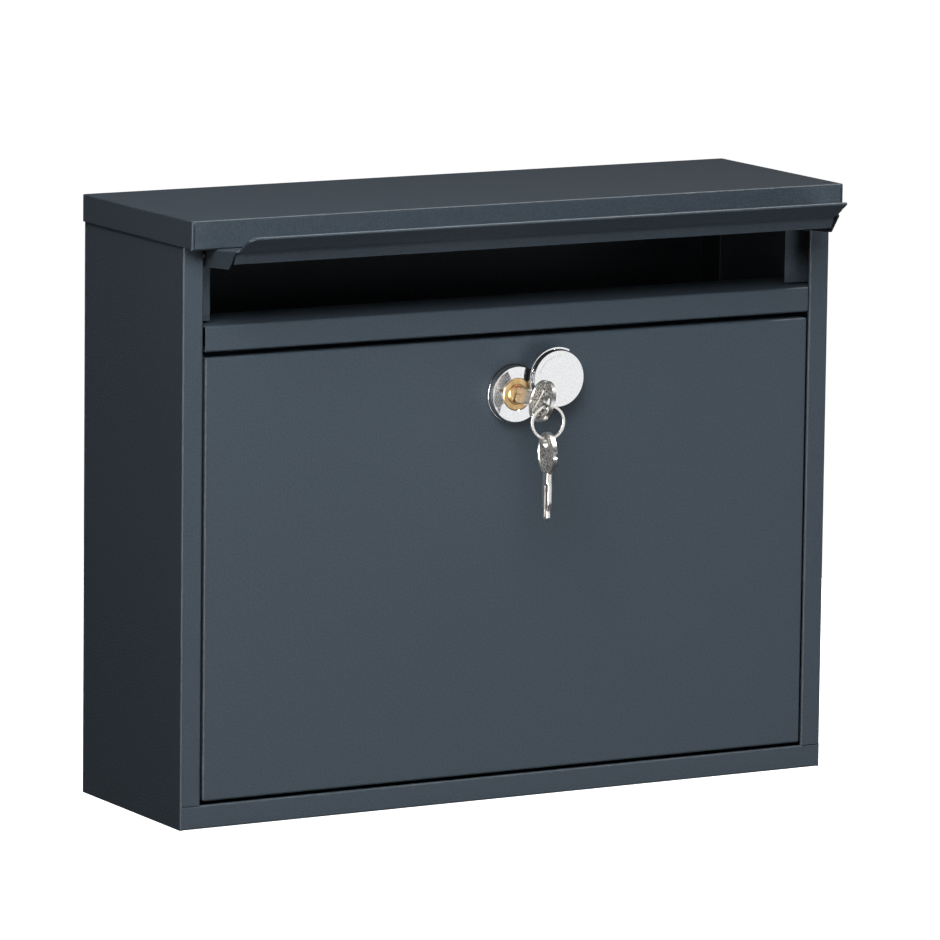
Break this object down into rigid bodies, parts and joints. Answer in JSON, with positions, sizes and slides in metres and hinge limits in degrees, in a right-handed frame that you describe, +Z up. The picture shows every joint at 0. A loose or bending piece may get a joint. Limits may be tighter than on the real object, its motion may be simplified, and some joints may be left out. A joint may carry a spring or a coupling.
{
  "type": "wall mounted mailbox",
  "caption": "Sheet steel wall mailbox with a roofed letter slot under a lift-up flap, a drop-down door and a cam lock with a swivelling dust cap and its keys on a ring.",
  "frame": {"origin": "middle of the back panel's wall face", "axes": "+Z up, +Y into the wall, the front faces -Y, +X to the right seen from the front"},
  "size_m": [0.368, 0.152, 0.3],
  "materials": {
    "powder_coat": "anthracite fine-texture powder coat, satin",
    "polished_chrome": "polished chrome plate",
    "lock_brass": "turned brass",
    "zinc_plated_steel": "bright zinc plate",
    "nickel_key": "nickel plate, bow stamped with a fine grain",
    "steel_ring": "nickel plated spring wire"
  },
  "bodies": {
    "case": {"roof_cap": "powder_coat", "back_panel": "powder_coat", "left_side_panel": "powder_coat", "right_side_panel": "powder_coat", "bottom_pan": "powder_coat", "cross_rail": "powder_coat", "flap_bracket_left": "powder_coat", "flap_bracket_right": "powder_coat", "door_bracket_left": "powder_coat", "door_bracket_right": "powder_coat"},
    "flap": {"flap_panel": "powder_coat", "flap_pin_left": "zinc_plated_steel", "flap_pin_right": "zinc_plated_steel"},
    "door": {"door_panel": "powder_coat", "door_pin_left": "zinc_plated_steel", "door_pin_right": "zinc_plated_steel", "lock_rosette": "polished_chrome", "lock_barrel": "lock_brass", "lock_nut": "zinc_plated_steel", "cap_pivot": "zinc_plated_steel"},
    "cap": {"lock_cap": "polished_chrome"},
    "plug": {"lock_plug": "lock_brass", "lock_cam": "zinc_plated_steel", "cam_washer": "zinc_plated_steel", "cam_screw": "zinc_plated_steel"},
    "key": {"door_key": "nickel_key"},
    "ring": {"key_ring": "steel_ring"},
    "spare": {"spare_key": "nickel_key"}
  },
  "joints": [
    {"name": "door_hinge", "type": "hinge", "parent": "case", "child": "door", "pos_m": [0, -0.1, -0.1317], "axis": [1, 0, 0], "range_deg": [0, 90]},
    {"name": "flap_hinge", "type": "hinge", "parent": "case", "child": "flap", "pos_m": [0, -0.1024, 0.1313], "axis": [-1, 0, 0], "range_deg": [-93, 0]},
    {"name": "cap_swivel", "type": "hinge", "parent": "door", "child": "cap", "pos_m": [0.0104, -0.114, 0.0575], "axis": [0, 1, 0], "range_deg": [-42, 50]},
    {"name": "plug_turn", "type": "hinge", "parent": "door", "child": "plug", "pos_m": [0, -0.106, 0.0539], "axis": [0, 1, 0], "range_deg": [-16, 74]},
    {"name": "key_slide", "type": "slide", "parent": "plug", "child": "key", "axis": [0, -1, 0], "range_m": [-0.0095, 0.014]},
    {"name": "ring_swing", "type": "hinge", "parent": "key", "child": "ring", "pos_m": [0, -0.1414, 0.0525], "axis": [1, 0, 0], "range_deg": [-60, 15]},
    {"name": "spare_swing", "type": "hinge", "parent": "ring", "child": "spare", "pos_m": [0, -0.1414, 0.036], "axis": [1, 0, 0], "range_deg": [-60, 20]}
  ]
}
